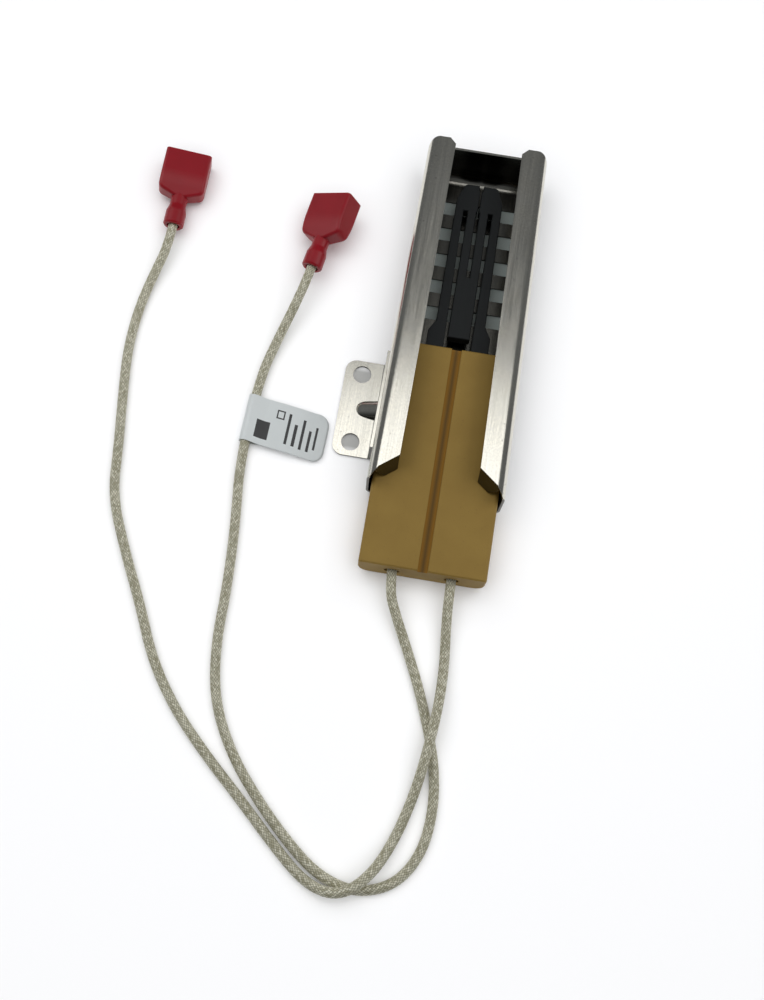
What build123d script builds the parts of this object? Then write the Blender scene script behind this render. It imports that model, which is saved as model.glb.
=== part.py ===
"""Guarded flat hot-surface igniter with two braided leads and insulated push-on terminals.

All sizes are in millimetres.  The part lies flat, as it is bolted down: +Z is up, +Y runs along the
igniter towards the closed end of its guard, and the origin is the middle of the two mounting holes, on
the underside of the bracket.  The igniter itself is drawn about its own centreline (x = 0) from the rear
face of its ceramic block (y = 0), and moved into place when it is written.
"""
import os
from math import atan2, cos, degrees, pi, radians, sin, tan

from build123d import *

# ---- ceramic block ----
block_length = 50.0
block_width = 26.8
block_thickness = 7.9
block_bottom_radius = 2.8
block_top_radius = 0.8
block_end_chamfer = 0.3
groove_width = 2.2
groove_depth = 1.0

# ---- sheet metal guard ----
sheet = 0.5
guard_rear = 17.2           # where the side walls start, from the block's rear face
guard_reach = 48.5          # where they end, from the block's front face
side_clearance = 0.6        # between block and wall at the guard's rear
guard_taper = 2.2           # how much narrower the guard is at its front
flange_rise = 4.1           # top of the flanges above the block
guard_bend_radius = 2.2     # outside radius of the four long bends
flange_width = 5.95         # from the wall's outside to the flange's free edge
flange_front_radius = 2.5
flange_front_chamfer = 1.4
slot_count = 5
slot_pitch = 6.63
slot_width = 3.3
slot_corner = 0.7
slot_side_inset = 3.0       # slot's end from the wall's outside
first_slot_inset = 10.85    # its centre from the guard's front
end_wall_inset = 1.9        # the end wall's outside face from the guard's front
end_wall_side_inset = 2.4   # its edge from the side wall's outside
end_wall_inner_radius = 2.4
end_wall_gap = 0.2          # under the flanges

# ---- retaining lip, folded down off each flange over the block ----
lip_fold_inner = 5.6        # fold's end on the flange's free edge, from the guard's rear
lip_fold_outer = 2.4        # fold's end beside the wall's bend, from the guard's rear
lip_fold_outer_inset = 1.95  # from the wall's outside
lip_run = 1.56
lip_foot_inset = 0.83       # foot's outer end, short of the fold's
lip_ear = 0.7               # how far the lip's outer corner stands past the fold
lip_ear_drop = 0.37         # where that corner is, as a share of the way down
block_lip_clearance = 0.3

# ---- mounting bracket ----
bracket_sheet = 0.6
hole_spacing = 15.9
hole_diameter = 4.0
hole_to_wall = 5.35         # from the guard's wall, outside
hole_to_guard_rear = 18.5   # middle of the pair
tab_length = 22.2
tab_edge_margin = 3.8       # hole centre to the tab's free edge
tab_corner_radius = 2.4
bracket_bend_radius = 0.5
leg_to_bend = 1.3           # top of the leg below the wall's upper bend
dart_width = 4.4
dart_length = 5.0
dart_rise = 3.2             # at the wall
dart_nose_rise = 1.5

# ---- heating element, measured from the block's front face ----
element_thickness = 2.6
element_reach = 41.6
shoulder_reach = 37.6
element_tip_half = 3.7
element_front_half = 5.2
element_rear_half = 5.45
foot_shoulder_reach = 7.2
foot_reach = 4.6
foot_inner = 3.05
foot_outer = 6.9
foot_insertion = 17.0       # inside the block
slit_reach = 34.8
slit_front_centre = 2.85
slit_front_width = 1.0
slit_rear_centre = 2.75
slit_rear_width = 0.6
middle_start = 3.6
middle_slit_width = 0.8
middle_slit_narrow = 0.35   # past the ends of the side slits
middle_slit_start = 18.5
notch_width = 0.95
notch_depth = 1.3
tip_radius = 1.2
element_edge = 0.15

# ---- what the block holds ----
pocket_clearance = 0.5
pocket_end_room = 2.0       # behind the feet
cement_length = 7.0
cement_recess = 0.4
cap_wall = 0.15
cap_length = 5.0
seal_wall = 0.5
pin_diameter = 1.16
pin_clearance = 0.22
splice_wall = 0.77
splice_length = 8.0
splice_end_room = 1.0
seal_recess = 1.0

# ---- leads ----
lead_diameter = 2.1
lead_to_centreline = 6.3
lead_insertion = 5.0        # sleeve inside the block
conductor_diameter = 1.16
conductor_bared = 4.0
sliding_gap = 0.05          # round what slides into a hole

# ---- insulated push-on terminals ----
terminal_length = 17.8
housing_width = 10.4
housing_thickness = 5.6
barrel_length = 7.0
barrel_straight = 3.4       # full diameter, then it narrows to the neck
neck_start = 5.0
barrel_chamfer = 0.3
barrel_wall = 0.85
neck_wall = 0.4
shoulder_length = 1.2
rear_bevel_length = 3.8
rear_bevel_drop = 1.1
housing_radius = 0.8        # long edges
shoulder_radius = 1.5       # corners of the sloped shoulders
bevel_radius = 12.0         # where the rear bevel runs into the flat face
housing_side_wall = 1.0
housing_face_wall = 1.15
housing_cavity_depth = 9.6
support_start = 1.6
support_length = 4.4
support_wall = 0.3
support_clearance = 0.1     # round the lead
crimp_start = 2.2           # where the lead's sleeve stops inside the barrel
crimp_length = 4.2
receptacle_recess = 1.2
receptacle_length = 7.4
receptacle_clearance = 0.2
receptacle_sheet = 0.4
receptacle_curl = 1.15
tongue_width = 1.8

# ---- flag label ----
label_width = 10.6          # along the lead
label_reach = 17.2          # from the lead's axis to the free edge
label_skew = 5.0            # degrees that the flag slants back along the lead
label_film = 0.2
label_corner = 2.4
label_lead_clearance = 0.12

# ---- routes of the leads, on the surface the igniter lies on ----
left_route = [
    (13.3, -30.7, 4.45), (13.3, -39.3, 4.45), (15.9, -44.9, 2.8), (19.0, -50.6, 1.3),
    (22.5, -57.8, 1.1), (25.8, -66.0, 1.1), (28.4, -74.0, 1.1), (29.4, -82.4, 1.1),
    (28.3, -90.9, 1.1), (23.9, -97.6, 1.1), (16.4, -100.2, 1.1), (9.1, -98.3, 1.1),
    (2.7, -93.8, 1.1), (-5.6, -86.0, 1.1), (-12.8, -77.6, 1.1), (-18.1, -67.7, 1.1),
    (-20.1, -56.4, 1.1), (-20.1, -44.2, 1.1), (-21.0, -30.6, 1.1), (-22.7, -16.6, 1.4),
    (-22.0, 3.2, 1.4), (-19.7, 12.6, 1.9),
]
right_route = [
    (25.9, -30.7, 4.45), (25.9, -39.3, 4.45), (26.5, -46.2, 2.4), (27.3, -53.2, 1.6),
    (27.2, -62.0, 3.6), (26.2, -72.0, 3.6), (24.9, -80.6, 1.6), (22.5, -89.2, 1.6),
    (18.9, -96.6, 3.6), (13.4, -101.4, 3.6), (6.7, -100.2, 1.4), (-0.6, -94.3, 1.1),
    (-9.0, -86.5, 1.1), (-17.8, -78.8, 1.1), (-25.8, -70.8, 1.1), (-32.4, -61.6, 1.1),
    (-37.2, -51.0, 1.1), (-43.3, -39.2, 1.1), (-48.1, -28.4, 1.1), (-49.2, -17.6, 1.1),
    (-50.8, -6.2, 1.1), (-52.1, 5.0, 1.1), (-51.7, 15.2, 1.1), (-50.0, 23.2, 1.9),
]
# Each terminal: middle of its rear end, heading in degrees from +Y towards -X, roll about its own axis.
left_terminal = dict(rear=(-15.1, 29.2, 5.45), heading=-9.0, roll=-31.0)
right_terminal = dict(rear=(-47.9, 34.9, 3.5), heading=-0.5, roll=7.0)
terminal_run = 5.0          # straight stretch of lead behind a terminal
label_point = 19            # index in left_route of the run that carries the label

# ---- derived ----
past = 1.0                  # how far a cutting shape runs past what it cuts
guard_front = block_length + guard_reach
guard_rear_width = block_width + 2 * (side_clearance + sheet)
guard_front_width = guard_rear_width - guard_taper
block_floor = sheet
block_top = block_floor + block_thickness
guard_height = block_top + flange_rise
end_wall_front = guard_front - end_wall_inset
element_z = block_floor + block_thickness / 2
hole_to_block_rear = guard_rear + hole_to_guard_rear
foot_rear = block_length - foot_insertion
foot_centre = (foot_inner + foot_outer) / 2
foot_width = foot_outer - foot_inner
pocket_width = foot_width + 2 * pocket_clearance
pocket_height = element_thickness + 2 * pocket_clearance
sleeve_bore = lead_diameter + 2 * sliding_gap
lead_bore = sleeve_bore + 2 * seal_wall
crimp_bore = conductor_diameter + 2 * sliding_gap
support_bore = lead_diameter + 2 * support_clearance
barrel_bore = support_bore + 2 * support_wall
crimp_diameter = support_bore - 2 * sliding_gap


def half_width(y):
    """Half the guard's outside width at y."""
    share = (y - guard_rear) / (guard_front - guard_rear)
    return (guard_rear_width - share * guard_taper) / 2


hole_to_centreline = half_width(hole_to_block_rear) + hole_to_wall
origin_shift = Pos(hole_to_centreline, -hole_to_block_rear, 0)


def plan(points, low, high):
    """A solid from a closed outline seen from above, between two heights."""
    return extrude(Pos(0, 0, low) * make_face(Polyline(*points, close=True)), high - low)


def slab(x, y, z):
    """A box given by its low and high values along each axis."""
    size = [side[1] - side[0] for side in (x, y, z)]
    middle = [(side[0] + side[1]) / 2 for side in (x, y, z)]
    return Pos(*middle) * Box(*size)


def rod(diameter, start, end):
    """A round bar along Y."""
    return Pos(0, (start + end) / 2, 0) * Rot(90, 0, 0) * Cylinder(diameter / 2, end - start)


def both_sides(shape):
    """The shape and its mirror image across the centreline."""
    return [shape, mirror(shape, Plane.YZ)]


# ---- guard ----
def guard_prism(inset, overrun):
    """The guard's tapered envelope, brought in by an inset all round, with rounded long edges."""
    rear = guard_rear - overrun
    front = guard_front + overrun
    outline = [
        (-half_width(rear) + inset, rear), (half_width(rear) - inset, rear),
        (half_width(front) - inset, front), (-half_width(front) + inset, front),
    ]
    body = plan(outline, inset, guard_height - inset)
    long_edges = [edge for edge in body.edges() if edge.length > (front - rear) * 0.99]
    return fillet(long_edges, guard_bend_radius - inset)


def flange_edge(y):
    """Distance from the centreline to the flange's free edge at y."""
    return half_width(y) - flange_width


def flange_gap():
    """The open strip between the two flanges."""
    rear = guard_rear - past
    front = guard_front + past
    outline = [
        (-flange_edge(rear), rear), (flange_edge(rear), rear),
        (flange_edge(front), front), (-flange_edge(front), front),
    ]
    return plan(outline, guard_height / 2, guard_height + past)


def lip_frame():
    """Ends of the fold line on the right flange, its direction and the lip's downhill direction."""
    inner_y = guard_rear + lip_fold_inner
    outer_y = guard_rear + lip_fold_outer
    inner = Vector(flange_edge(inner_y), inner_y, guard_height)
    outer = Vector(half_width(outer_y) - lip_fold_outer_inset, outer_y, guard_height)
    along = (outer - inner).normalized()
    drop = flange_rise - block_lip_clearance
    downhill = Vector(along.Y, -along.X, 0) * lip_run + Vector(0, 0, -drop)
    return inner, outer, along, downhill


def retaining_lip():
    """The plate folded down off the right flange, with its outer corner cut back."""
    inner, outer, along, downhill = lip_frame()
    trim = lip_run * abs(along.Y) / abs(along.X)
    corners = [
        inner, outer, outer + along * lip_ear + downhill * lip_ear_drop,
        outer - along * lip_foot_inset + downhill, inner + along * trim + downhill,
    ]
    face = make_face(Polyline(*corners, close=True))
    normal = along.cross(downhill).normalized()
    if normal.Z > 0:
        normal = normal * -1
    return extrude(face, sheet, dir=normal)


def flange_rear_cut():
    """What is trimmed off the right flange behind its fold."""
    inner, outer, along, _ = lip_frame()
    beyond = inner - along * 2 * past
    wall_inside = half_width(guard_rear) - sheet
    corners = [
        (beyond.X, beyond.Y), (inner.X, inner.Y), (outer.X, outer.Y), (wall_inside, guard_rear),
        (wall_inside, guard_rear - past), (beyond.X, guard_rear - past),
    ]
    return plan(corners, guard_height - sheet - guard_bend_radius / 2, guard_height + past)


def front_outline():
    """Plan outline that shapes the front ends of the walls and flanges."""
    edge = flange_edge(guard_front)
    corner = half_width(guard_front)
    corners = [
        (edge - past, guard_front - flange_front_chamfer - past), (edge, guard_front - flange_front_chamfer),
        (edge + flange_front_chamfer, guard_front), (corner + past, guard_front),
        (corner + past, guard_front + past), (edge - past, guard_front + past),
    ]
    cut = plan(corners, -past, guard_height + past)
    x = corner - flange_front_radius
    y = guard_front - flange_front_radius
    block = slab((x, corner + past), (y, guard_front + past), (-past, guard_height + past))
    return cut + (block - Pos(x, y, guard_height / 2) * Cylinder(flange_front_radius, 2 * guard_height))


def ladder_slots():
    """The row of vent slots across the base."""
    slots = []
    half_length = guard_front_width / 2 - slot_side_inset
    for index in range(slot_count):
        centre = guard_front - first_slot_inset - index * slot_pitch
        slot = slab((-half_length, half_length),
                    (centre - slot_width / 2, centre + slot_width / 2), (-past, sheet + past))
        slots.append(fillet(slot.edges().filter_by(Axis.Z), slot_corner))
    return slots


def end_wall():
    """The flap bent up from the base to close the front."""
    outer_radius = end_wall_inner_radius + sheet
    tangent = end_wall_front - outer_radius
    top = guard_height - sheet - end_wall_gap
    root = tangent - 2 * past
    with BuildSketch(Plane.YZ) as profile:
        with BuildLine():
            start = Line((root, 0), (tangent, 0))
            bend = TangentArc(start @ 1, (end_wall_front, outer_radius), tangent=start % 1)
            rise = Line(bend @ 1, (end_wall_front, top))
            cap = Line(rise @ 1, (end_wall_front - sheet, top))
            fall = Line(cap @ 1, (end_wall_front - sheet, outer_radius))
            inner = TangentArc(fall @ 1, (tangent, sheet), tangent=fall % 1)
            Polyline(inner @ 1, (root, sheet), start @ 0)
        make_face()
    return extrude(profile.sketch, guard_front_width / 2 - end_wall_side_inset, both=True)


def guard():
    shell = guard_prism(0, 0) - guard_prism(sheet, past) - flange_gap()
    base_end = end_wall_front - end_wall_inner_radius - sheet
    relief = slab((-guard_rear_width, guard_rear_width), (base_end, guard_front + past),
                  (-past, guard_bend_radius))
    shell -= relief
    shell = shell - both_sides(flange_rear_cut()) - both_sides(front_outline()) - ladder_slots()
    return shell + both_sides(retaining_lip()) + end_wall()


# ---- mounting bracket ----
def bracket():
    middle = hole_to_block_rear
    rear = middle - tab_length / 2
    front = middle + tab_length / 2
    wall = -half_width(rear)
    free_edge = -hole_to_centreline - tab_edge_margin
    bend_x = wall - bracket_sheet - bracket_bend_radius
    outer_radius = bracket_bend_radius + bracket_sheet
    leg_top = guard_height - guard_bend_radius - leg_to_bend
    with BuildSketch(Plane.XZ.offset(-rear)) as profile:
        with BuildLine():
            foot = Line((free_edge - past, 0), (bend_x, 0))
            bend = TangentArc(foot @ 1, (wall, outer_radius), tangent=foot % 1)
            leg = Line(bend @ 1, (wall, leg_top))
            top = Line(leg @ 1, (wall - bracket_sheet, leg_top))
            back = Line(top @ 1, (wall - bracket_sheet, outer_radius))
            inner = TangentArc(back @ 1, (bend_x, bracket_sheet), tangent=back % 1)
            Polyline(inner @ 1, (free_edge - past, bracket_sheet), foot @ 0)
        make_face()
    slant = Vector(half_width(rear) - half_width(front), tab_length, 0)
    body = Solid.extrude(profile.sketch.faces()[0], slant)
    root = wall - bracket_sheet
    body = body + dart(root, middle, 0) - dart(root, middle, bracket_sheet)
    outline = slab((free_edge, 0), (rear, front), (-past, leg_top + past))
    corners = outline.edges().filter_by(Axis.Z).sort_by(Axis.X)[:2]
    body = body & fillet(corners, tab_corner_radius)
    for step in (-0.5, 0.5):
        hole = Cylinder(hole_diameter / 2, 2 * (bracket_sheet + past))
        body -= Pos(-hole_to_centreline, middle + step * hole_spacing, 0) * hole
    return body


def dart(root_x, middle, inset):
    """The pressed dart, a round-nosed ridge that rises towards the wall. With an inset, its hollow."""
    radius = dart_width / 2
    end = Vector(root_x + past, middle, dart_rise - radius)
    nose = Vector(root_x - dart_length + radius, middle, dart_nose_rise - radius)
    ridge = Plane(origin=nose, z_dir=end - nose) * Cylinder(
        radius - inset, (end - nose).length, align=(Align.CENTER, Align.CENTER, Align.MIN))
    ridge += Pos(*nose) * Sphere(radius - inset)
    floor = 0 if inset == 0 else -past
    return ridge & slab((root_x - dart_length, root_x + inset), (middle - radius, middle + radius),
                        (floor, dart_rise + past))


# ---- heating element ----
def heating_element():
    """One flat strip of silicon carbide folded into an M by three slits."""
    front = slit_front_width / 2
    rear = slit_rear_width / 2
    right = [
        (middle_slit_width / 2, middle_slit_start), (middle_slit_width / 2, slit_reach),
        (middle_slit_narrow / 2, slit_reach), (middle_slit_narrow / 2, element_reach - notch_depth),
        (notch_width / 2, element_reach - notch_depth), (notch_width / 2, element_reach),
        (element_tip_half, element_reach), (element_front_half, shoulder_reach),
        (element_rear_half, foot_shoulder_reach), (foot_outer, foot_reach), (foot_outer, -foot_insertion),
        (foot_inner, -foot_insertion), (slit_rear_centre + rear, middle_start),
        (slit_front_centre + front, slit_reach), (slit_front_centre - front, slit_reach),
        (slit_rear_centre - rear, middle_start),
    ]
    left = [(-x, y) for x, y in reversed(right)]
    outline = make_face(Polyline(*(right + left), close=True))
    tips = [corner for corner in corners_at(outline, Axis.Y, element_reach) if abs(corner.X) > notch_width]
    outline = fillet(tips + corners_at(outline, Axis.Y, shoulder_reach), tip_radius)
    body = extrude(Pos(0, 0, element_z - element_thickness / 2) * outline, element_thickness)
    rims = body.faces().sort_by(Axis.Z)
    return Pos(0, block_length, 0) * chamfer(rims[-1].edges() + rims[0].edges(), element_edge)


# ---- ceramic block and what it holds ----
def ceramic_block():
    half = block_width / 2
    body = slab((-half, half), (0, block_length), (block_floor, block_top))
    long_edges = body.edges().filter_by(Axis.Y).sort_by(Axis.Z)
    body = fillet(long_edges[:2], block_bottom_radius)
    top_edges = body.edges().filter_by(Axis.Y).sort_by(Axis.Z)[-2:]
    body = fillet(top_edges, block_top_radius)
    ends = body.faces().filter_by(Axis.Y)
    body = chamfer(ends.edges(), block_end_chamfer)
    body -= slab((-groove_width / 2, groove_width / 2), (-past, block_length + past),
                 (block_top - groove_depth, block_top + past))
    pocket_rear = foot_rear - pocket_end_room
    pocket = slab((-pocket_width / 2, pocket_width / 2), (pocket_rear, block_length + past),
                  (-pocket_height / 2, pocket_height / 2))
    for side in (-1, 1):
        bore = Pos(side * lead_to_centreline, 0, element_z)
        body -= bore * rod(lead_bore, -past, lead_insertion + splice_length + splice_end_room)
        body -= bore * rod(pin_diameter + 2 * pin_clearance, 0, foot_rear)
        body -= Pos(side * foot_centre, 0, element_z) * pocket
    return body


def sleeve_box(width, height, wall, start, end):
    """A rectangular tube along Y, centred on its own axis."""
    across = width / 2 + wall
    up = height / 2 + wall
    outer = slab((-across, across), (start, end), (-up, up))
    return outer - slab((-width / 2, width / 2), (start - past, end + past), (-height / 2, height / 2))


def contact_cap():
    """Metal cap fired onto the rear end of a foot, where the pin is brazed."""
    body = sleeve_box(foot_width, element_thickness, cap_wall, foot_rear, foot_rear + cap_length)
    half = foot_width / 2 + cap_wall
    high = element_thickness / 2 + cap_wall
    return body + slab((-half, half), (foot_rear - cap_wall, foot_rear), (-high, high))


def front_cement():
    """Refractory cement round a foot, just inside the block's front face."""
    end = block_length - cement_recess
    return sleeve_box(foot_width, element_thickness, pocket_clearance, end - cement_length, end)


def splice_crimp():
    start = lead_insertion
    end = start + splice_length
    return rod(crimp_bore + 2 * splice_wall, start, end) - rod(crimp_bore, start - past, end + past)


def rear_seal():
    return rod(lead_bore, seal_recess, lead_insertion) - rod(sleeve_bore, 0, lead_insertion + past)


def corners_at(face, axis, place):
    """The corners of a flat outline that lie at one place along an axis."""
    along = axis.direction
    return [corner for corner in face.vertices() if abs(Vector(corner).dot(along) - place) < 0.01]


# ---- terminals, drawn along +Y from the middle of their rear end ----
def terminal_housing():
    """Nylon housing: flared barrel, neck, sloped shoulders and a rectangular mouth."""
    barrel = barrel_bore / 2 + barrel_wall
    neck = barrel_bore / 2 + neck_wall
    shoulder_end = barrel_length + shoulder_length
    with BuildSketch(Plane.XY) as profile:
        with BuildLine():
            Polyline((0, 0), (barrel - barrel_chamfer, 0), (barrel, barrel_chamfer),
                     (barrel, barrel_straight), (neck, neck_start), (neck, shoulder_end + past),
                     (0, shoulder_end + past), close=True)
        make_face()
    body = revolve(profile.sketch, Axis.Y)
    half = housing_width / 2
    high = housing_thickness / 2
    shoulders = make_face(Polyline(
        (neck, barrel_length), (half, shoulder_end), (half, terminal_length),
        (-half, terminal_length), (-half, shoulder_end), (-neck, barrel_length), close=True))
    shoulders = fillet(corners_at(shoulders, Axis.Y, shoulder_end), shoulder_radius)
    bevel_end = barrel_length + rear_bevel_length
    rear_high = high - rear_bevel_drop
    side_view = make_face(Polyline(
        (rear_high, barrel_length), (high, bevel_end), (high, terminal_length),
        (-high, terminal_length), (-high, bevel_end), (-rear_high, barrel_length), close=True))
    side_view = fillet(corners_at(side_view, Axis.Y, bevel_end), bevel_radius)
    flat = extrude(shoulders, housing_thickness, both=True)
    flat &= extrude(Rot(0, 90, 0) * side_view, housing_width, both=True)
    sides = [edge for edge in flat.edges() if abs((edge % 0.5).Y) > 0.95]
    flat = fillet([edge for edge in sides if edge.length > rear_bevel_length], housing_radius)
    cavity_start = terminal_length - housing_cavity_depth
    cavity_half = half - housing_side_wall
    cavity_high = high - housing_face_wall
    cavity = slab((-cavity_half, cavity_half), (cavity_start, terminal_length + past),
                  (-cavity_high, cavity_high))
    return body + flat - cavity - rod(barrel_bore, -past, cavity_start + past / 2)


def receptacle():
    """Plated brass push-on receptacle with curled sides, a tongue and a crimp barrel."""
    width = housing_width - 2 * housing_side_wall - 2 * receptacle_clearance
    height = housing_thickness - 2 * housing_face_wall - 2 * receptacle_clearance
    front = terminal_length - receptacle_recess
    rear = front - receptacle_length
    floor = -height / 2
    curl = min(receptacle_curl, height / 2)
    body = slab((-width / 2, width / 2), (rear, front), (floor, floor + receptacle_sheet))
    for side in (-1, 1):
        centre = Pos(side * (width / 2 - curl), 0, floor + curl)
        ring = centre * rod(2 * curl, rear, front)
        ring -= centre * rod(2 * (curl - receptacle_sheet), rear - past, front + past)
        ring -= slab(sorted((side * (width / 2 - 2 * curl - past), side * (width / 2 - curl))),
                     (rear - past, front + past), (floor + receptacle_sheet, floor + curl))
        body += ring
    crimp_end = crimp_start + crimp_length
    crimp_low = -crimp_diameter / 2
    across = (-tongue_width / 2, tongue_width / 2)
    step = (rear - receptacle_sheet, rear + receptacle_sheet)
    body += slab(across, (crimp_end - receptacle_sheet, step[1]), (crimp_low, crimp_low + receptacle_sheet))
    body += slab(across, step, (min(floor, crimp_low), max(floor, crimp_low) + receptacle_sheet))
    body += rod(crimp_diameter, crimp_start, crimp_end)
    return body - rod(crimp_bore, crimp_start - past, crimp_end + past / 2)


def support_sleeve():
    """Brass sleeve inside the nylon barrel that holds the crimp."""
    end = support_start + support_length
    return rod(barrel_bore, support_start, end) - rod(support_bore, support_start - past, end + past)


def terminal_place(terminal):
    return Pos(*terminal["rear"]) * Rot(0, 0, terminal["heading"]) * Rot(0, terminal["roll"], 0)


# ---- leads ----
def lead_path(route, terminal):
    """The chosen points, then the straight stretch into the terminal's barrel."""
    heading = radians(terminal["heading"])
    along = Vector(-sin(heading), cos(heading), 0)
    rear = Vector(*terminal["rear"])
    return [Vector(*point) for point in route] + [rear - along * terminal_run, rear + along * crimp_start]


def lead_radii(points):
    """The largest arc that each corner's two runs allow."""
    radii = []
    for before, corner, after in zip(points, points[1:], points[2:]):
        run_in = corner - before
        run_out = after - corner
        half_turn = radians(run_in.get_angle(run_out)) / 2
        radii.append(0.45 * min(run_in.length, run_out.length) / tan(half_turn))
    return radii


def lead(name, route, terminal):
    points = lead_path(route, terminal)
    radii = lead_radii(points)
    line = FilletPolyline(*points, radius=radii)
    start = Plane(origin=points[0], z_dir=points[1] - points[0])
    body = sweep(start * Circle(lead_diameter / 2), path=line)
    section = pi * (lead_diameter / 2) ** 2
    print(f"{name}: length {line.length:.1f}, smallest radius {min(radii):.1f}, "
          f"volume {body.volume:.1f} for {section * line.length:.1f}")
    print(f"{name} radii:", " ".join(f"{radius:.0f}" for radius in radii))
    return body


def flag_label():
    """Film label folded round the left lead, its two halves pressed together a little askew."""
    start = Vector(*left_route[label_point])
    end = Vector(*left_route[label_point + 1])
    heading = degrees(atan2(-(end - start).X, (end - start).Y))
    inner = lead_diameter / 2 + label_lead_clearance
    half = label_width / 2
    slant = label_reach * tan(radians(label_skew))
    wrap = rod(2 * (inner + label_film), -half, half)
    outline = [(0, -half), (label_reach, -half - slant), (label_reach, half - slant), (0, half)]
    flag = plan(outline, -label_film, label_film)
    corners = flag.edges().filter_by(Axis.Z).sort_by(Axis.X)[2:]
    flag = fillet(corners, label_corner)
    body = wrap + flag - rod(2 * inner, -label_width, label_width)
    return Pos(*((start + end) / 2)) * Rot(0, 0, heading) * body


# ---- write every piece ----
def write(name, shape):
    solids = shape.solids()
    export_step(solids[0] if len(solids) == 1 else Compound(children=list(solids)), f"parts/{name}.step")
    print(f"{name}: {len(solids)} solid(s)")


os.makedirs("parts", exist_ok=True)
write("guard", origin_shift * guard())
write("mounting_bracket", origin_shift * bracket())
write("ceramic_block", origin_shift * ceramic_block())
write("heating_element", origin_shift * heating_element())

pin_end = foot_rear - cap_wall
for label, side in (("left", -1), ("right", 1)):
    foot = origin_shift * Pos(side * foot_centre, 0, element_z)
    bore = origin_shift * Pos(side * lead_to_centreline, 0, element_z)
    write(f"{label}_contact_cap", foot * contact_cap())
    write(f"{label}_front_cement", foot * front_cement())
    write(f"{label}_pin", bore * rod(pin_diameter, lead_insertion + conductor_bared, pin_end))
    write(f"{label}_splice_crimp", bore * splice_crimp())
    write(f"{label}_rear_seal", bore * rear_seal())
    write(f"{label}_conductor_block_end",
          bore * rod(conductor_diameter, lead_insertion, lead_insertion + conductor_bared))

for label, route, terminal in (("left", left_route, left_terminal), ("right", right_route, right_terminal)):
    place = terminal_place(terminal)
    write(f"{label}_lead", lead(f"{label}_lead", route, terminal))
    write(f"{label}_conductor_terminal_end",
          place * rod(conductor_diameter, crimp_start, crimp_start + conductor_bared))
    write(f"{label}_terminal_housing", place * terminal_housing())
    write(f"{label}_receptacle", place * receptacle())
    write(f"{label}_support_sleeve", place * support_sleeve())

write("flag_label", flag_label())
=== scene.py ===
# %% [markdown]
# A hot surface igniter for a gas oven or furnace. A dark silicon carbide element glows red when current
# passes, and lights the gas. It sits in a tan ceramic block, inside a folded sheet metal guard with a
# mounting bracket on one side. Two glass-braided leads leave the block and end in red push-on terminals.
# The rigid pieces come from the CAD model and only get materials here. The leads and the flag label are
# soft, so they are built here along the same routes.

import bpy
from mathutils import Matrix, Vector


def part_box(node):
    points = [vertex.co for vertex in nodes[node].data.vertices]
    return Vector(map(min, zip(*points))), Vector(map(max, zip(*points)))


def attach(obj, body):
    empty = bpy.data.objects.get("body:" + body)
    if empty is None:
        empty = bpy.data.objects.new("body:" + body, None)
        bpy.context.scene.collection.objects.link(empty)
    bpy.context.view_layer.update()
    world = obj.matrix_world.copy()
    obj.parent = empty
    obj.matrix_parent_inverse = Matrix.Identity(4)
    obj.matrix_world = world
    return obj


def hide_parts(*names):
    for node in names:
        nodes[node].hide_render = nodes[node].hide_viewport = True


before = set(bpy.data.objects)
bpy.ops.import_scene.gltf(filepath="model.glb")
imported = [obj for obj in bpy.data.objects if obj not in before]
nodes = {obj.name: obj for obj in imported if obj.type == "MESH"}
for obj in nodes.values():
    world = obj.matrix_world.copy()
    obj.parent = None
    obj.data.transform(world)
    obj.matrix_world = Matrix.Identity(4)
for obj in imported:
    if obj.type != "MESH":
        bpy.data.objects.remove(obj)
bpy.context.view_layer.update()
print("nodes:", len(nodes))

# %% Units and tools
import math

import bmesh
import bpy
import numpy as np
from mathutils import Vector

mm = 0.001


def linear(colour):
    """An sRGB hex colour such as "c8b090" as linear red, green, blue and alpha."""
    parts = [int(colour[i:i + 2], 16) / 255 for i in (0, 2, 4)]
    return [p / 12.92 if p <= 0.04045 else ((p + 0.055) / 1.055) ** 2.4 for p in parts] + [1.0]


def add(tree, kind, inputs=None, **settings):
    """Adds one shader node. An input is given a value, or another node's output socket to link."""
    node = tree.nodes.new("ShaderNode" + kind)
    for name, value in settings.items():
        setattr(node, name, value)
    for name, value in (inputs or {}).items():
        if isinstance(value, bpy.types.NodeSocket):
            tree.links.new(value, node.inputs[name])
        else:
            node.inputs[name].default_value = value
    return node


# %% [markdown]
# The camera looks almost straight down, from a little towards the leads. That shows the plan of every piece
# and still shows the guard's end wall and how deep it is. It could track an aim point instead, but three
# angles hold its slight roll as well.

# %% Camera
camera_place = Vector((11.1, -95.0, 261.0)) * mm
camera_angles = [math.radians(a) for a in (16.16, -1.18, 9.46)]
focal_length = 45.4         # millimetres, like the sensor's long side
sensor_side = 36.0
sideways_shift = 0.0225     # shares of the picture's long side
upward_shift = -0.0043

lens = bpy.data.cameras.new("camera")
lens.lens = focal_length
lens.sensor_width = sensor_side
lens.shift_x = sideways_shift
lens.shift_y = upward_shift
lens.clip_start = 0.01
lens.clip_end = 20.0
camera = bpy.data.objects.new("camera", lens)
camera.location = camera_place
camera.rotation_euler = camera_angles
bpy.context.scene.collection.objects.link(camera)
bpy.context.scene.camera = camera
print("camera height:", round(camera.location.z, 3))

# %% [markdown]
# Each lead is a fixed length of stranded wire in a braided glass sleeve, about 2.1 mm thick. It leaves the
# block, drops to the table and runs to its terminal. A curve with a bevel would be quick, but its surface
# would be smooth. So a NURBS spline gives the smooth centreline, and a tube of real vertices follows it,
# with the braid's crossing yarns raised on its surface.

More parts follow.
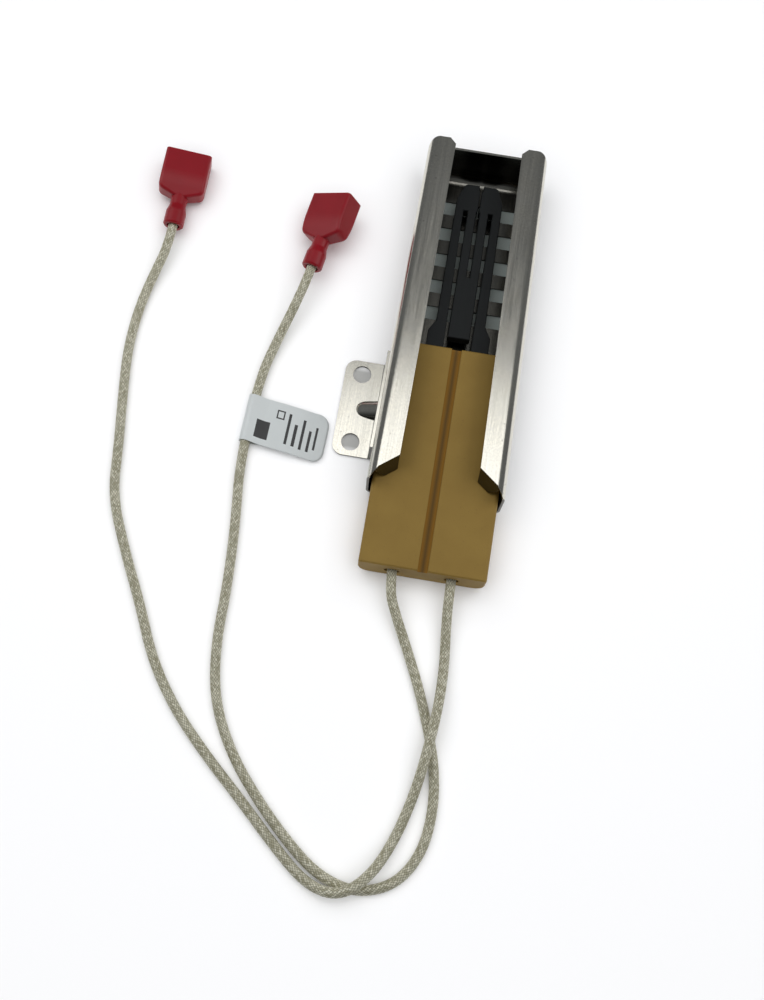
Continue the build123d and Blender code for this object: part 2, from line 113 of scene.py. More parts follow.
# %% Routes of the leads, in metres
left_route = [
    (0.0133, -0.0307, 0.00445), (0.0133, -0.0393, 0.00445), (0.0159, -0.0449, 0.0028),
    (0.0190, -0.0506, 0.0013), (0.0225, -0.0578, 0.0011), (0.0258, -0.0660, 0.0011),
    (0.0284, -0.0740, 0.0011), (0.0294, -0.0824, 0.0011), (0.0283, -0.0909, 0.0011),
    (0.0239, -0.0976, 0.0011), (0.0164, -0.1002, 0.0011), (0.0091, -0.0983, 0.0011),
    (0.0027, -0.0938, 0.0011), (-0.0056, -0.0860, 0.0011), (-0.0128, -0.0776, 0.0011),
    (-0.0181, -0.0677, 0.0011), (-0.0201, -0.0564, 0.0011), (-0.0201, -0.0442, 0.0011),
    (-0.0210, -0.0306, 0.0011), (-0.0227, -0.0166, 0.0014), (-0.0220, 0.0032, 0.0014),
    (-0.0197, 0.0126, 0.0019), (-0.01588, 0.02426, 0.00545), (-0.01476, 0.03137, 0.00545),
]
right_route = [
    (0.0259, -0.0307, 0.00445), (0.0259, -0.0393, 0.00445), (0.0265, -0.0462, 0.0024),
    (0.0273, -0.0532, 0.0016), (0.0272, -0.0620, 0.0036), (0.0262, -0.0720, 0.0036),
    (0.0249, -0.0806, 0.0016), (0.0225, -0.0892, 0.0016), (0.0189, -0.0966, 0.0036),
    (0.0134, -0.1014, 0.0036), (0.0067, -0.1002, 0.0014), (-0.0006, -0.0943, 0.0011),
    (-0.0090, -0.0865, 0.0011), (-0.0178, -0.0788, 0.0011), (-0.0258, -0.0708, 0.0011),
    (-0.0324, -0.0616, 0.0011), (-0.0372, -0.0510, 0.0011), (-0.0433, -0.0392, 0.0011),
    (-0.0481, -0.0284, 0.0011), (-0.0492, -0.0176, 0.0011), (-0.0508, -0.0062, 0.0011),
    (-0.0521, 0.0050, 0.0011), (-0.0517, 0.0152, 0.0011), (-0.0500, 0.0232, 0.0019),
    (-0.04794, 0.02990, 0.0035), (-0.04788, 0.03710, 0.0035),
]
lead_diameter = 2.1 * mm
line_step = 0.22 * mm       # short enough for the braid to follow


def spline_line(route):
    """Points along the smooth NURBS line that has the route's points as its control points."""
    curve = bpy.data.curves.new("route", "CURVE")
    curve.dimensions = "3D"
    curve.resolution_u = 40
    spline = curve.splines.new("NURBS")
    spline.points.add(len(route) - 1)
    for point, place in zip(spline.points, route):
        point.co = (*place, 1.0)
    spline.order_u = 3
    spline.use_endpoint_u = True
    holder = bpy.data.objects.new("route", curve)
    line = bpy.data.meshes.new_from_object(holder)
    points = np.array([v.co for v in line.vertices])
    bpy.data.meshes.remove(line)
    bpy.data.objects.remove(holder)
    bpy.data.curves.remove(curve)
    return points


def even_steps(points, step):
    """The same line with points a step apart, and how far along it each one is."""
    gaps = np.linalg.norm(np.diff(points, axis=0), axis=1)
    along = np.concatenate([[0.0], np.cumsum(gaps)])
    at = np.linspace(0.0, along[-1], int(round(along[-1] / step)) + 1)
    return np.stack([np.interp(at, along, points[:, k]) for k in range(3)], axis=1), at


left_line, left_along = even_steps(spline_line(left_route), line_step)
right_line, right_along = even_steps(spline_line(right_route), line_step)
print("left lead", round(left_along[-1], 4), "m, right lead", round(right_along[-1], 4), "m")

# %% [markdown]
# The sleeve is braided from two sets of glass yarns that wind round the wire in opposite directions and
# pass over and under each other. Modelling every yarn as its own tube is possible, but far too heavy. The
# tube's radius is raised where a yarn lies on top instead, which gives the same broken edge and sparkle.

# %% Braided tubes
yarns_each_way = 11
braid_lay = 9.0 * mm        # how far along the lead a yarn goes in one full turn
braid_relief = 0.1 * mm     # from the gaps between the yarns to their tops
girth_points = 48


def braid_height(turn, along):
    """Height of the braid from 0 to 1, at a share of a turn round the lead and a distance along it."""
    one = yarns_each_way * (turn + along / braid_lay)
    other = yarns_each_way * (turn - along / braid_lay)
    one_on_top = (np.floor(one) + np.floor(other)) % 2 == 0
    across = np.where(one_on_top, one, other)
    return np.sin(np.pi * (across % 1.0)) ** 0.7


def braided_tube(name, line, along):
    """A closed tube round the line, with the braid raised on it and its own coordinates in millimetres."""
    count = len(line)
    tangent = np.gradient(line, axis=0)
    tangent /= np.linalg.norm(tangent, axis=1)[:, None]
    side = np.cross(tangent[0], (0.0, 0.0, 1.0))
    sides = []
    for direction in tangent:
        side = side - direction * side.dot(direction)
        side = side / np.linalg.norm(side)
        sides.append(side)
    sides = np.array(sides)
    ups = np.cross(tangent, sides)
    turn = np.arange(girth_points) / girth_points
    angle = 2 * np.pi * turn
    height = braid_height(turn[None, :], along[:, None])
    radius = lead_diameter / 2 - braid_relief * (1 - height)
    ring = sides[:, None, :] * np.cos(angle)[None, :, None] + ups[:, None, :] * np.sin(angle)[None, :, None]
    points = line[:, None, :] + ring * radius[:, :, None]
    first = np.arange((count - 1) * girth_points)
    row, column = first // girth_points, first % girth_points
    beside = row * girth_points + (column + 1) % girth_points
    quads = np.stack([first, first + girth_points, beside + girth_points, beside], axis=1)
    last_ring = (count - 1) * girth_points
    caps = [list(range(girth_points)), [last_ring + i for i in reversed(range(girth_points))]]
    mesh = bpy.data.meshes.new(name)
    mesh.from_pydata(points.reshape(-1, 3).tolist(), [], quads.tolist() + caps)
    layer = mesh.uv_layers.new(name="braid")
    corner_u = along[np.stack([row, row + 1, row + 1, row], axis=1)] / mm
    corner_v = np.stack([column, column, column + 1, column + 1], axis=1) / girth_points
    values = np.zeros((len(mesh.loops), 2))
    values[:quads.size, 0] = corner_u.ravel()
    values[:quads.size, 1] = corner_v.ravel()
    layer.data.foreach_set("uv", values.astype(np.float32).ravel())
    mesh.polygons.foreach_set("use_smooth", [True] * len(mesh.polygons))
    tube = bpy.data.objects.new(name, mesh)
    bpy.context.scene.collection.objects.link(tube)
    return tube


left_lead = braided_tube("left_lead_braid", left_line, left_along)
right_lead = braided_tube("right_lead_braid", right_line, right_along)
print("faces in the left lead:", len(left_lead.data.polygons))

# %% [markdown]
# The flag label is a strip of white film, folded round the left lead and pressed to itself. It could be a
# flat plate, but film is springy: it bulges round the lead, runs almost flat, and lets its free end droop.
# So its section is drawn once, as a line round the lead, and swept across the label's width.

# %% Flag label
label_width = 10.6 * mm
label_reach = 17.2 * mm     # from the lead's axis to the free edge
label_film = 0.2 * mm
label_slack = 0.12 * mm     # between the lead and the film round it
label_meet = 3.2 * mm       # how far from the lead's axis the two halves come together
label_corner = 2.4 * mm
label_skew = math.radians(5.0)
label_droop = 0.5 * mm
label_lift = 0.35 * mm
wrap_start = -62            # degrees round the lead, where the lower half leaves it
wrap_angle = 236
wrap_steps = 24
label_start = Vector(left_route[19])        # it sits between these two points of the route
label_end = Vector(left_route[20])
label_middle = (label_start + label_end) / 2
label_up = (label_end - label_start).normalized()
label_out = Vector((label_up.y, -label_up.x, 0.0))


def label_height(share):
    """Height of the flag's middle over the lead's axis, from the lead (0) to the free edge (1)."""
    return label_lift * math.sin(math.pi * min(share * 1.25, 1.0)) - label_droop * share ** 3


def label_section(samples):
    """The film's middle line as (distance out, height), from the lower free edge round the lead."""
    wrap = lead_diameter / 2 + label_slack + label_film / 2
    half = label_film / 2
    flag = []
    for i in range(samples):
        share = 1 - i / (samples - 1)
        out = label_meet + share * (label_reach - label_meet)
        flag.append((out, label_height(out / label_reach)))
    lower = [(out, height - half) for out, height in flag]
    upper = [(out, height + half) for out, height in reversed(flag)]
    bend = []
    for i in range(1, wrap_steps):
        angle = math.radians(wrap_start - wrap_angle * i / wrap_steps)
        bend.append((wrap * math.cos(angle), wrap * math.sin(angle)))
    return lower + bend + upper


def free_edge_inset(across, half):
    """How far the rounded free corners pull the free edge in, at a place across the label."""
    past = abs(across) - (half - label_corner)
    if past <= 0:
        return 0.0
    return label_corner - math.sqrt(max(label_corner ** 2 - past ** 2, 0.0))


def flag_label():
    """The folded film as one thin sheet, swept across its width, with its own coordinates for the print."""
    section = label_section(26)
    across_steps = 28
    half = label_width / 2
    mesh = bpy.data.meshes.new("flag_label_film")
    built = bmesh.new()
    layer = built.loops.layers.uv.new("print")
    rows = []
    coordinates = {}
    for j in range(across_steps + 1):
        across = -half * math.cos(math.pi * j / across_steps)
        inset = free_edge_inset(across, half)
        row = []
        for out, height in section:
            pulled = out if out < label_reach - label_corner else out - inset * (
                (out - (label_reach - label_corner)) / label_corner)
            slant = -max(pulled, 0.0) * math.tan(label_skew)
            place = label_middle + label_out * pulled + label_up * (across + slant) + Vector((0, 0, height))
            vertex = built.verts.new(place)
            coordinates[vertex] = (pulled / mm, across / mm)
            row.append(vertex)
        rows.append(row)
    for low, high in zip(rows, rows[1:]):
        for a, b, c, d in zip(low, low[1:], high[1:], high):
            built.faces.new((a, b, c, d))
    for face in built.faces:
        face.smooth = True
        for loop in face.loops:
            loop[layer].uv = coordinates[loop.vert]
    built.to_mesh(mesh)
    built.free()
    label = bpy.data.objects.new("flag_label_film", mesh)
    bpy.context.scene.collection.objects.link(label)
    film = label.modifiers.new("film", "SOLIDIFY")
    film.thickness = label_film * 0.9
    film.offset = 0.0
    return label


label = flag_label()
print("faces in the label:", len(label.data.polygons))

# %% [markdown]
# Stainless sheet comes off the mill with a fine lengthwise grain, and picks up light scratches and small
# marks when it is folded. A metal shows almost nothing of its own: it shows the room. So the grain goes
# into the roughness and a very fine bump, and only faint blotches and small marks go into the colour. The
# lamps leave the inside of the guard too bright, so painted shade darkens the base between the slots and
# the faces that look towards the block.

# %% Stainless sheet
def new_material(name, **shader):
    """A material with its Principled shader's constants set, the shader and the object's own coordinates."""
    material = bpy.data.materials.new(name)
    material.use_nodes = True
    tree = material.node_tree
    surface = tree.nodes["Principled BSDF"]
    for socket, value in shader.items():
        surface.inputs[socket.replace("_", " ")].default_value = value
    place = add(tree, "TexCoord").outputs["Object"]
    print("material:", name)
    return material, tree, surface, place


def stainless_sheet():
    """Mill-finished ferritic stainless: a soft grey mirror drawn out by its grain, with painted shade in the
    guard.
    """
    material, tree, surface, place = new_material("mill_finish_stainless", Metallic=1.0)
    grain_width, grain_length = 0.16, 9.0       # millimetres; coarser than real grain, so that it shows
    band_width, band_length = 1.6, 45
    blotch_size = 4
    mark_spacing, mark_strength = 2.2, 0.35
    fleck_size = 0.45
    # How far the painted shade goes towards near black, on faces towards the block and on the base.
    end_shade, base_shade = 0.88, 0.72
    stretched = add(tree, "Mapping", {"Vector": place, "Scale": (
        1 / (grain_width * mm), 1 / (grain_length * mm), 1 / (grain_width * mm))}).outputs[0]
    grain = add(tree, "TexNoise", {"Vector": stretched, "Scale": 1.0, "Detail": 3.0}).outputs["Fac"]
    banded = add(tree, "Mapping", {"Vector": place, "Scale": (
        1 / (band_width * mm), 1 / (band_length * mm), 1 / (band_width * mm))}).outputs[0]
    bands = add(tree, "TexNoise", {"Vector": banded, "Scale": 1.0, "Detail": 2.0}).outputs["Fac"]
    blotch = add(tree, "TexNoise", {
        "Vector": place, "Scale": 1 / (blotch_size * mm), "Detail": 4.0}).outputs["Fac"]
    spots = add(tree, "TexVoronoi", {"Vector": place, "Scale": 1 / (mark_spacing * mm)}).outputs["Distance"]
    spot = add(tree, "MapRange", {"Value": spots, "From Min": 0.05, "From Max": 0.12,
                                  "To Min": 1.0, "To Max": 0.0}).outputs[0]
    mixed = add(tree, "Math", {0: grain, 1: bands}, operation="ADD").outputs[0]
    rough = add(tree, "MapRange", {"Value": mixed, "From Min": 0.7, "From Max": 1.35,
                                   "To Min": 0.15, "To Max": 0.27}).outputs[0]
    fine = add(tree, "TexNoise", {
        "Vector": place, "Scale": 1 / (fleck_size * mm), "Detail": 3.0}).outputs["Fac"]
    fleck = add(tree, "MapRange", {"Value": fine, "From Min": 0.42, "From Max": 0.6}).outputs[0]
    warm = add(tree, "Mix", {"Factor": fleck, 6: linear("d0ccc0"), 7: linear("dedacc")},
               data_type="RGBA").outputs[2]
    tone = add(tree, "Mix", {"Factor": blotch, 6: warm, 7: linear("d6d4cc")}, data_type="RGBA").outputs[2]
    marked = add(tree, "Math", {0: spot, 1: mark_strength}, operation="MULTIPLY").outputs[0]
    colour = add(tree, "Mix", {"Factor": marked, 6: tone, 7: linear("77736b")}, data_type="RGBA").outputs[2]
    # Painted shade: faces that look towards the block, and the upward base inside the guard, are mixed
    # towards 15140f.
    facing = add(tree, "SeparateXYZ", {0: add(tree, "NewGeometry").outputs["True Normal"]})
    block_facing_shade = add(tree, "MapRange", {"Value": facing.outputs["Y"], "From Min": -0.35, "From Max": -0.75,
                                      "To Min": 0.0, "To Max": end_shade}).outputs[0]
    where = add(tree, "SeparateXYZ", {0: place})
    left_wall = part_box("guard")[0].x + 1 * mm           # leaves out the mounting tab
    in_guard = add(tree, "Math", {0: where.outputs["X"], 1: left_wall}, operation="GREATER_THAN").outputs[0]
    upward = add(tree, "Math", {0: facing.outputs["Z"], 1: 0.5}, operation="GREATER_THAN").outputs[0]
    deep = add(tree, "MapRange", {"Value": where.outputs["Z"], "From Min": 1.4 * mm, "From Max": 0.6 * mm,
                                  "To Min": 0.0, "To Max": base_shade}).outputs[0]
    low_down = add(tree, "Math", {0: in_guard, 1: deep}, operation="MULTIPLY").outputs[0]
    base = add(tree, "Math", {0: low_down, 1: upward}, operation="MULTIPLY").outputs[0]
    painted_shade = add(tree, "Math", {0: base, 1: block_facing_shade}, operation="MAXIMUM").outputs[0]
    colour = add(tree, "Mix", {"Factor": painted_shade, 6: colour, 7: linear("15140f")},
                 data_type="RGBA").outputs[2]
    ripple = add(tree, "Bump", {"Height": grain, "Strength": 0.12, "Distance": 0.02 * mm}).outputs[0]
    tree.links.new(colour, surface.inputs["Base Color"])
    tree.links.new(rough, surface.inputs["Roughness"])
    tree.links.new(ripple, surface.inputs["Normal"])
    return material


stainless = stainless_sheet()

# %% [markdown]
# The block is cordierite, pressed dry and fired without a glaze, so it is matt and a little rough. A flat
# colour would look like plastic. Slow clouds of two browns and small dark specks give it the fired look.
# The groove is more orange, and darker along its middle: partly its own tone and partly painted shade in
# the recess. Its place is worked out from the block's box, so it needs no second material.

# %% Tan ceramic
def tan_ceramic():
    """Unglazed cordierite, pressed and fired: a dry, warm brown with fine specks."""
    material, tree, surface, place = new_material("fired_cordierite", Roughness=0.7, IOR=1.5)
    groove_half, groove_fade, groove_depth = 1.14 * mm, 0.9 * mm, 1.1 * mm
    middle_half, middle_core = 0.75 * mm, 0.1 * mm
    cloud = add(tree, "TexNoise", {"Vector": place, "Scale": 1 / (6 * mm), "Detail": 5.0}).outputs["Fac"]
    body = add(tree, "Mix", {"Factor": cloud, 6: linear("8a6c28"), 7: linear("9d7f37")},
               data_type="RGBA").outputs[2]
    specks = add(tree, "TexVoronoi", {"Vector": place, "Scale": 1 / (1.1 * mm)}).outputs["Distance"]
    speck = add(tree, "MapRange", {"Value": specks, "From Min": 0.06, "From Max": 0.14,
                                   "To Min": 0.5, "To Max": 0.0}).outputs[0]
    colour = add(tree, "Mix", {"Factor": speck, 6: body, 7: linear("7a5a2a")}, data_type="RGBA").outputs[2]
    low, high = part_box("ceramic_block")
    split = add(tree, "SeparateXYZ", {0: place})
    centre = (low.x + high.x) / 2
    off_centre = add(tree, "Math", {0: split.outputs["X"], 1: centre}, operation="SUBTRACT").outputs[0]
    out = add(tree, "Math", {0: off_centre}, operation="ABSOLUTE").outputs[0]
    across = add(tree, "MapRange", {
        "Value": out, "From Min": groove_half, "From Max": groove_fade}).outputs[0]
    low_limit = high.z - groove_depth
    top_side = add(tree, "Math", {0: split.outputs["Z"], 1: low_limit}, operation="GREATER_THAN").outputs[0]
    in_groove = add(tree, "Math", {0: across, 1: top_side}, operation="MULTIPLY").outputs[0]
    # Painted shade: the groove is darker along its middle, which is partly painted shade and partly its own
    # tone.
    in_middle = add(tree, "MapRange", {
        "Value": out, "From Min": middle_half, "From Max": middle_core}).outputs[0]
    groove_tone_and_shade = add(tree, "Mix", {"Factor": in_middle, 6: linear("9a6c08"), 7: linear("684a02")},
               data_type="RGBA").outputs[2]
    colour = add(tree, "Mix", {"Factor": in_groove, 6: colour, 7: groove_tone_and_shade}, data_type="RGBA").outputs[2]
    grit = add(tree, "TexNoise", {"Vector": place, "Scale": 1 / (0.25 * mm), "Detail": 3.0}).outputs["Fac"]
    bump = add(tree, "Bump", {"Height": grit, "Strength": 0.25, "Distance": 0.05 * mm}).outputs[0]
    tree.links.new(colour, surface.inputs["Base Color"])
    tree.links.new(bump, surface.inputs["Normal"])
    return material


ceramic = tan_ceramic()

# %% [markdown]
# Recrystallised silicon carbide is a mass of fused grains, nearly black with a cold tint. It is porous, so
# it reflects less than the solid crystal does, and a lower index of refraction than the crystal's stands
# for that. A fine grit bump breaks up what gloss is left.

# %% Silicon carbide
def silicon_carbide():
    """Recrystallised silicon carbide: a grainy, cold black surface with hardly any glint."""
    material, tree, surface, place = new_material("silicon_carbide", Roughness=0.6, IOR=1.42)
    cloud = add(tree, "TexNoise", {"Vector": place, "Scale": 1 / (3 * mm), "Detail": 5.0}).outputs["Fac"]
    colour = add(tree, "Mix", {"Factor": cloud, 6: linear("040809"), 7: linear("0a1214")},
                 data_type="RGBA").outputs[2]
    grit = add(tree, "TexNoise", {"Vector": place, "Scale": 1 / (0.2 * mm), "Detail": 3.0}).outputs["Fac"]
    bump = add(tree, "Bump", {"Height": grit, "Strength": 0.35, "Distance": 0.06 * mm}).outputs[0]
    tree.links.new(colour, surface.inputs["Base Color"])
    tree.links.new(bump, surface.inputs["Normal"])
    return material


carbide = silicon_carbide()

# %% [markdown]
# The sleeve is glass yarn with a thin varnish that has yellowed. The braid's own coordinates say which yarn
# lies on top, just as they did for its relief, and painted shade darkens the gaps between the yarns. Real
# yarns catch the light one by one, so each crossing gets its own brightness, partly the yarn's own tone and
# partly a painted glint, from a noise that depends on the two yarns' numbers alone.

# %% Glass braid
def glass_braid():
    """Glass-fibre sleeving, varnished and slightly yellowed: pale yarns with painted shade in the gaps."""
    material, tree, surface, place = new_material("glass_fibre_braid", Roughness=0.55, IOR=1.52)
    where = add(tree, "UVMap", uv_map="braid").outputs[0]
    split = add(tree, "SeparateXYZ", {0: where})
    lay = add(tree, "Math", {0: split.outputs["X"], 1: braid_lay / mm}, operation="DIVIDE").outputs[0]
    yarns = []
    for way in ("ADD", "SUBTRACT"):
        turn = add(tree, "Math", {0: split.outputs["Y"], 1: lay}, operation=way).outputs[0]
        yarns.append(add(tree, "Math", {0: turn, 1: float(yarns_each_way)}, operation="MULTIPLY").outputs[0])
    floors = [add(tree, "Math", {0: yarn}, operation="FLOOR").outputs[0] for yarn in yarns]
    total = add(tree, "Math", {0: floors[0], 1: floors[1]}, operation="ADD").outputs[0]
    odd = add(tree, "Math", {0: total, 1: 2.0}, operation="FLOORED_MODULO").outputs[0]
    across = add(tree, "Mix", {"Factor": odd, "A": yarns[0], "B": yarns[1]}, data_type="FLOAT").outputs[0]
    share = add(tree, "Math", {0: across}, operation="FRACT").outputs[0]
    wave = add(tree, "Math", {0: share, 1: math.pi}, operation="MULTIPLY").outputs[0]
    height = add(tree, "Math", {0: wave}, operation="SINE").outputs[0]
    stain = add(tree, "TexNoise", {"Vector": place, "Scale": 1 / (5 * mm), "Detail": 3.0}).outputs["Fac"]
    crossing = add(tree, "CombineXYZ", {0: floors[0], 1: floors[1]}).outputs[0]
    # Each crossing's brightness from this noise is partly the yarn's own tone and partly a painted glint.
    fleck = add(tree, "TexWhiteNoise", {"Vector": crossing}).outputs["Value"]
    dull = add(tree, "Mix", {"Factor": stain, 6: linear("a39e80"), 7: linear("b3af96")},
               data_type="RGBA").outputs[2]
    yarn = add(tree, "Mix", {"Factor": fleck, 6: dull, 7: linear("ece9d4")}, data_type="RGBA").outputs[2]
    # Painted shade: the gaps between the yarns are mixed towards 5f5b44.
    lit = add(tree, "MapRange", {"Value": height, "From Min": 0.0, "From Max": 0.8}).outputs[0]
    colour = add(tree, "Mix", {"Factor": lit, 6: linear("5f5b44"), 7: yarn}, data_type="RGBA").outputs[2]
    tree.links.new(colour, surface.inputs["Base Color"])
    return material


braid = glass_braid()

# %% [markdown]
# The housings are nylon, moulded with red pigment. The moulding is smooth but not polished, and a little
# light enters it, which is why the red stays deep in the shade. Subsurface scattering over 1.5 mm does that.

# %% Red nylon
def red_nylon():
    """Injection-moulded nylon 6, dyed red: slightly translucent, with a soft gloss."""
    material, tree, surface, place = new_material(
        "moulded_red_nylon", Roughness=0.4, IOR=1.4, Subsurface_Weight=0.15, Subsurface_Scale=1.5 * mm)
    cloud = add(tree, "TexNoise", {"Vector": place, "Scale": 1 / (4 * mm), "Detail": 3.0}).outputs["Fac"]
    colour = add(tree, "Mix", {"Factor": cloud, 6: linear("8c0b18"), 7: linear("9c1020")},
                 data_type="RGBA").outputs[2]
    tree.links.new(colour, surface.inputs["Base Color"])
    return material


nylon = red_nylon()

# %% [markdown]
# The rest hardly shows: the cement round the feet and the leads, and the metal of the contacts. One short
# function gives each of them two close tones that drift over about a millimetre.

# %% Cement and contact metals
def plain(name, one, other, size, **shader):
    """A material whose colour drifts between two tones over patches of a given size in millimetres."""
    material, tree, surface, place = new_material(name, **shader)
    cloud = add(tree, "TexNoise", {"Vector": place, "Scale": 1 / (size * mm), "Detail": 4.0}).outputs["Fac"]
    colour = add(tree, "Mix", {"Factor": cloud, 6: linear(one), 7: linear(other)},
                 data_type="RGBA").outputs[2]
    tree.links.new(colour, surface.inputs["Base Color"])
    return material


cement = plain("refractory_cement", "8f877a", "b5ada0", 0.8, Roughness=0.9)
nickel = plain("nickel_wire", "b0aca2", "c4c0b6", 1.0, Roughness=0.35, Metallic=1.0)
brass = plain("tin_plated_brass", "c9c7c0", "dcdad2", 1.2, Roughness=0.3, Metallic=1.0)

# %% [markdown]
# The label is clear-coated white film with black thermal-transfer print. The real print is left out. Plain
# bars stand in for it: one solid block, a few thin lines and a small empty box. An image would need a file,
# and bars drawn from the film's own millimetres stay sharp at any size.

# %% Label film
def bar(tree, out, across, low, high):
    """One inside a rectangle in the film's own millimetres, and zero elsewhere."""
    inside = []
    for value, start, end in ((out, low[0], high[0]), (across, low[1], high[1])):
        above = add(tree, "Math", {0: value, 1: start}, operation="GREATER_THAN").outputs[0]
        below = add(tree, "Math", {0: value, 1: end}, operation="LESS_THAN").outputs[0]
        inside.append(add(tree, "Math", {0: above, 1: below}, operation="MULTIPLY").outputs[0])
    return add(tree, "Math", {0: inside[0], 1: inside[1]}, operation="MULTIPLY").outputs[0]


def printed_film():
    """Glossy polyester film: a cool white that bends softly, with dense black print."""
    material, tree, surface, place = new_material("polyester_label_film", Roughness=0.35, IOR=1.58)
    split = add(tree, "SeparateXYZ", {0: add(tree, "UVMap", uv_map="print").outputs[0]})
    out, across = split.outputs["X"], split.outputs["Y"]
    bars = [((1.6, -3.9), (4.6, 0.2)), ((5.6, 1.6), (7.4, 3.6)), ((8.3, -3.6), (8.9, 3.4)),
            ((9.9, -3.6), (10.6, 1.4)), ((11.6, -3.8), (12.2, 3.0)), ((13.2, -3.8), (13.8, 1.0)),
            ((14.6, -3.0), (15.1, 2.2))]
    ink = None
    for low, high in bars:
        shape = bar(tree, out, across, low, high)
        ink = shape if ink is None else add(tree, "Math", {0: ink, 1: shape}, operation="MAXIMUM").outputs[0]
    hollow = bar(tree, out, across, (5.9, 1.9), (7.1, 3.3))
    ink = add(tree, "Math", {0: ink, 1: hollow}, operation="SUBTRACT").outputs[0]
    cloud = add(tree, "TexNoise", {"Vector": place, "Scale": 1 / (6 * mm), "Detail": 3.0}).outputs["Fac"]
    white = add(tree, "Mix", {"Factor": cloud, 6: linear("dae0e0"), 7: linear("e6ebeb")},
                data_type="RGBA").outputs[2]
    colour = add(tree, "Mix", {"Factor": ink, 6: white, 7: linear("0e0f11")}, data_type="RGBA").outputs[2]
    tree.links.new(colour, surface.inputs["Base Color"])
    return material


film = printed_film()

# %% [markdown]
# Every rigid piece now gets its finish. The pieces stay exactly where the frame has them.

# %% Give every CAD piece its material
finishes = {
    "guard": stainless, "mounting_bracket": stainless, "ceramic_block": ceramic, "heating_element": carbide,
}
for side in ("left", "right"):
    finishes[f"{side}_terminal_housing"] = nylon
    finishes[f"{side}_receptacle"] = brass
    finishes[f"{side}_support_sleeve"] = brass
    finishes[f"{side}_contact_cap"] = nickel
    finishes[f"{side}_pin"] = nickel
    finishes[f"{side}_splice_crimp"] = nickel
    finishes[f"{side}_front_cement"] = cement
    finishes[f"{side}_rear_seal"] = cement
    finishes[f"{side}_conductor_block_end"] = nickel
    finishes[f"{side}_conductor_terminal_end"] = nickel
for name, material in finishes.items():
    mesh = nodes[name].data
    mesh.materials.clear()
    mesh.materials.append(material)
print("finished", len(finishes), "of", len(nodes), "CAD nodes")

# %% [markdown]
# The two braids and the film take the place of the plain CAD solids that stood for them.

# %% Join the soft pieces to the frame
for tube, lead_node in ((left_lead, "left_lead"), (right_lead, "right_lead")):
    tube.data.materials.append(braid)
    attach(tube, "root")
    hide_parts(lead_node)
label.data.materials.append(film)
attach(label, "root")
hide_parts("flag_label")


print("soft pieces:", left_lead.name, right_lead.name, label.name)

# %% [markdown]
# The igniter lies on white paper. Under the guard and the mounting tab the paper gets less light, so it
# reads grey through the slots and the holes. Large soft lamps leave it too bright there, and smaller ones
# would spoil the metal, so a painted shadow darkens the paper a little inside the edges of the sheet metal.

# %% Floor
bpy.ops.mesh.primitive_plane_add(size=4.0, location=(0, 0, 0))
floor = bpy.context.object
floor.name = "floor"
paper = bpy.data.materials.new("white_backdrop")
paper.use_nodes = True
paper_surface = paper.node_tree.nodes["Principled BSDF"]
paper_surface.inputs["Roughness"].default_value = 0.9
paper_surface.inputs["Specular IOR Level"].default_value = 0.1


def under(tree, node, inset, blur):
    """One on the paper below a CAD piece's box, less an inset, and zero round it, fading over the blur."""
    low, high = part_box(node)
    split = add(tree, "SeparateXYZ", {0: add(tree, "TexCoord").outputs["Object"]})
    share = None
    for axis, start, end in (("X", low.x, high.x), ("Y", low.y, high.y)):
        for edge, way in ((start + inset, 1), (end - inset, -1)):
            ramp = add(tree, "MapRange", {"Value": split.outputs[axis], "From Min": edge - way * blur / 2,
                                          "From Max": edge + way * blur / 2}).outputs[0]
            share = ramp if share is None else add(
                tree, "Math", {0: share, 1: ramp}, operation="MULTIPLY").outputs[0]
    return share


shade_blur = 1.5 * mm
paper_colour = linear("f2f2f3")
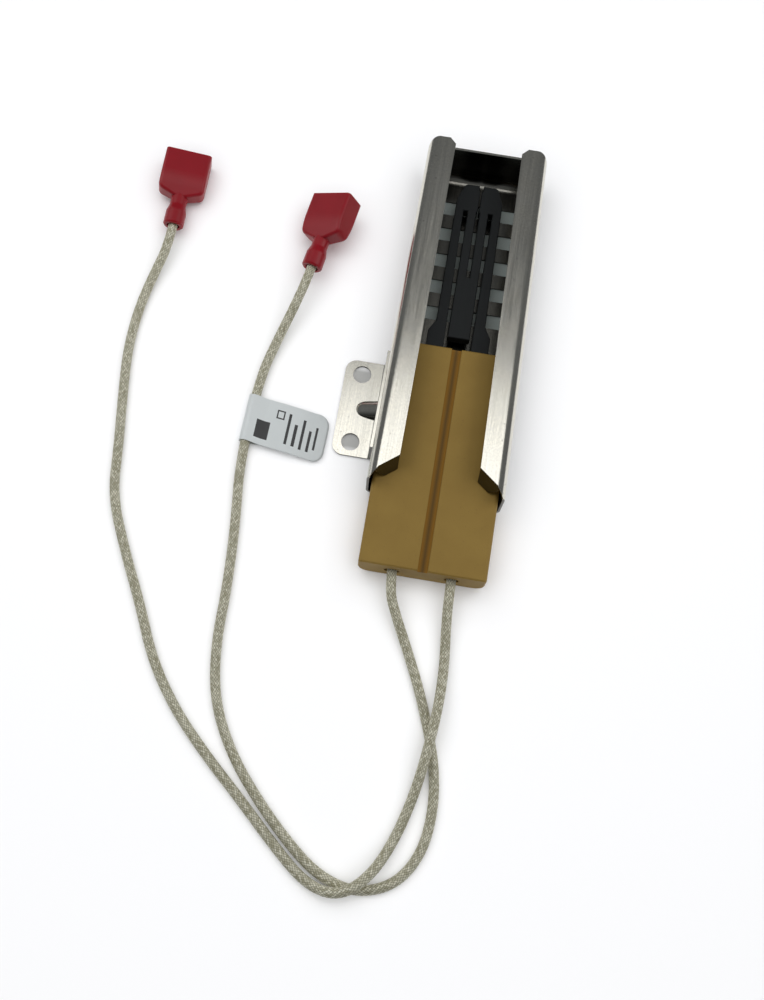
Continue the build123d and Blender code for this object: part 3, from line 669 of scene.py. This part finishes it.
# Painted shadow: the paper under the guard and under the tab is mixed towards grey.
for node, inset, tone in (("guard", 2.5 * mm, "939b98"), ("mounting_bracket", 1.6 * mm, "a6a6a4")):
    shade = under(paper.node_tree, node, inset, shade_blur)
    paper_colour = add(paper.node_tree, "Mix", {"Factor": shade, 6: paper_colour, 7: linear(tone)},
                       data_type="RGBA").outputs[2]
paper.node_tree.links.new(paper_colour, paper_surface.inputs["Base Color"])
floor.data.materials.append(paper)
print("floor:", round(floor.dimensions.x, 2), "m of", paper.name)

# %% [markdown]
# Stainless steel shows the lamps themselves. One overhead softbox ends over the middle of the guard, so the
# flanges are bright near the block and fall to grey towards the closed end. Two side boxes light only the
# matt pieces, and a wide one lights only the paper, which keeps the sheet metal's contrast.

# %% Lights
world = bpy.data.worlds.new("studio")
world.use_nodes = True
room = world.node_tree.nodes["Background"]
room.inputs["Color"].default_value = linear("e8ecf0")
room.inputs["Strength"].default_value = 0.16
bpy.context.scene.world = world


def softbox(name, place, aim, size, radiance):
    """A rectangular lamp that faces the aim, with the brightness that it shows in a mirror."""
    light = bpy.data.lights.new(name, "AREA")
    light.shape = "RECTANGLE"
    light.size, light.size_y = size
    light.energy = radiance * math.pi * size[0] * size[1]
    lamp = bpy.data.objects.new(name, light)
    lamp.location = place
    lamp.rotation_euler = (Vector(aim) - Vector(place)).to_track_quat("-Z", "Y").to_euler()
    bpy.context.scene.collection.objects.link(lamp)
    return lamp


def only_for(lamp, objects):
    """Lets a lamp light these objects alone."""
    lit = bpy.data.collections.new("lit_by_" + lamp.name)
    for thing in objects:
        lit.objects.link(thing)
    lamp.light_linking.receiver_collection = lit


metals = ("guard", "mounting_bracket")
matt = [left_lead, right_lead, label] + [nodes[name] for name in finishes if name not in metals]
softbox("overhead", (-0.04, 0.0925, 0.5), (-0.04, 0.0925, 0.0), (0.58, 0.215), 1.65)
for name, side in (("left_fill", -1), ("right_fill", 1)):
    only_for(softbox(name, (side * 0.45, 0.10, 0.40), (0.0, 0.0, 0.0), (0.40, 0.40), 2.35), matt)
only_for(softbox("backdrop", (0.0, 0.0, 0.6), (0.0, 0.0, 0.0), (1.4, 1.4), 1.3), [floor])
bpy.context.scene.view_settings.view_transform = "Standard"
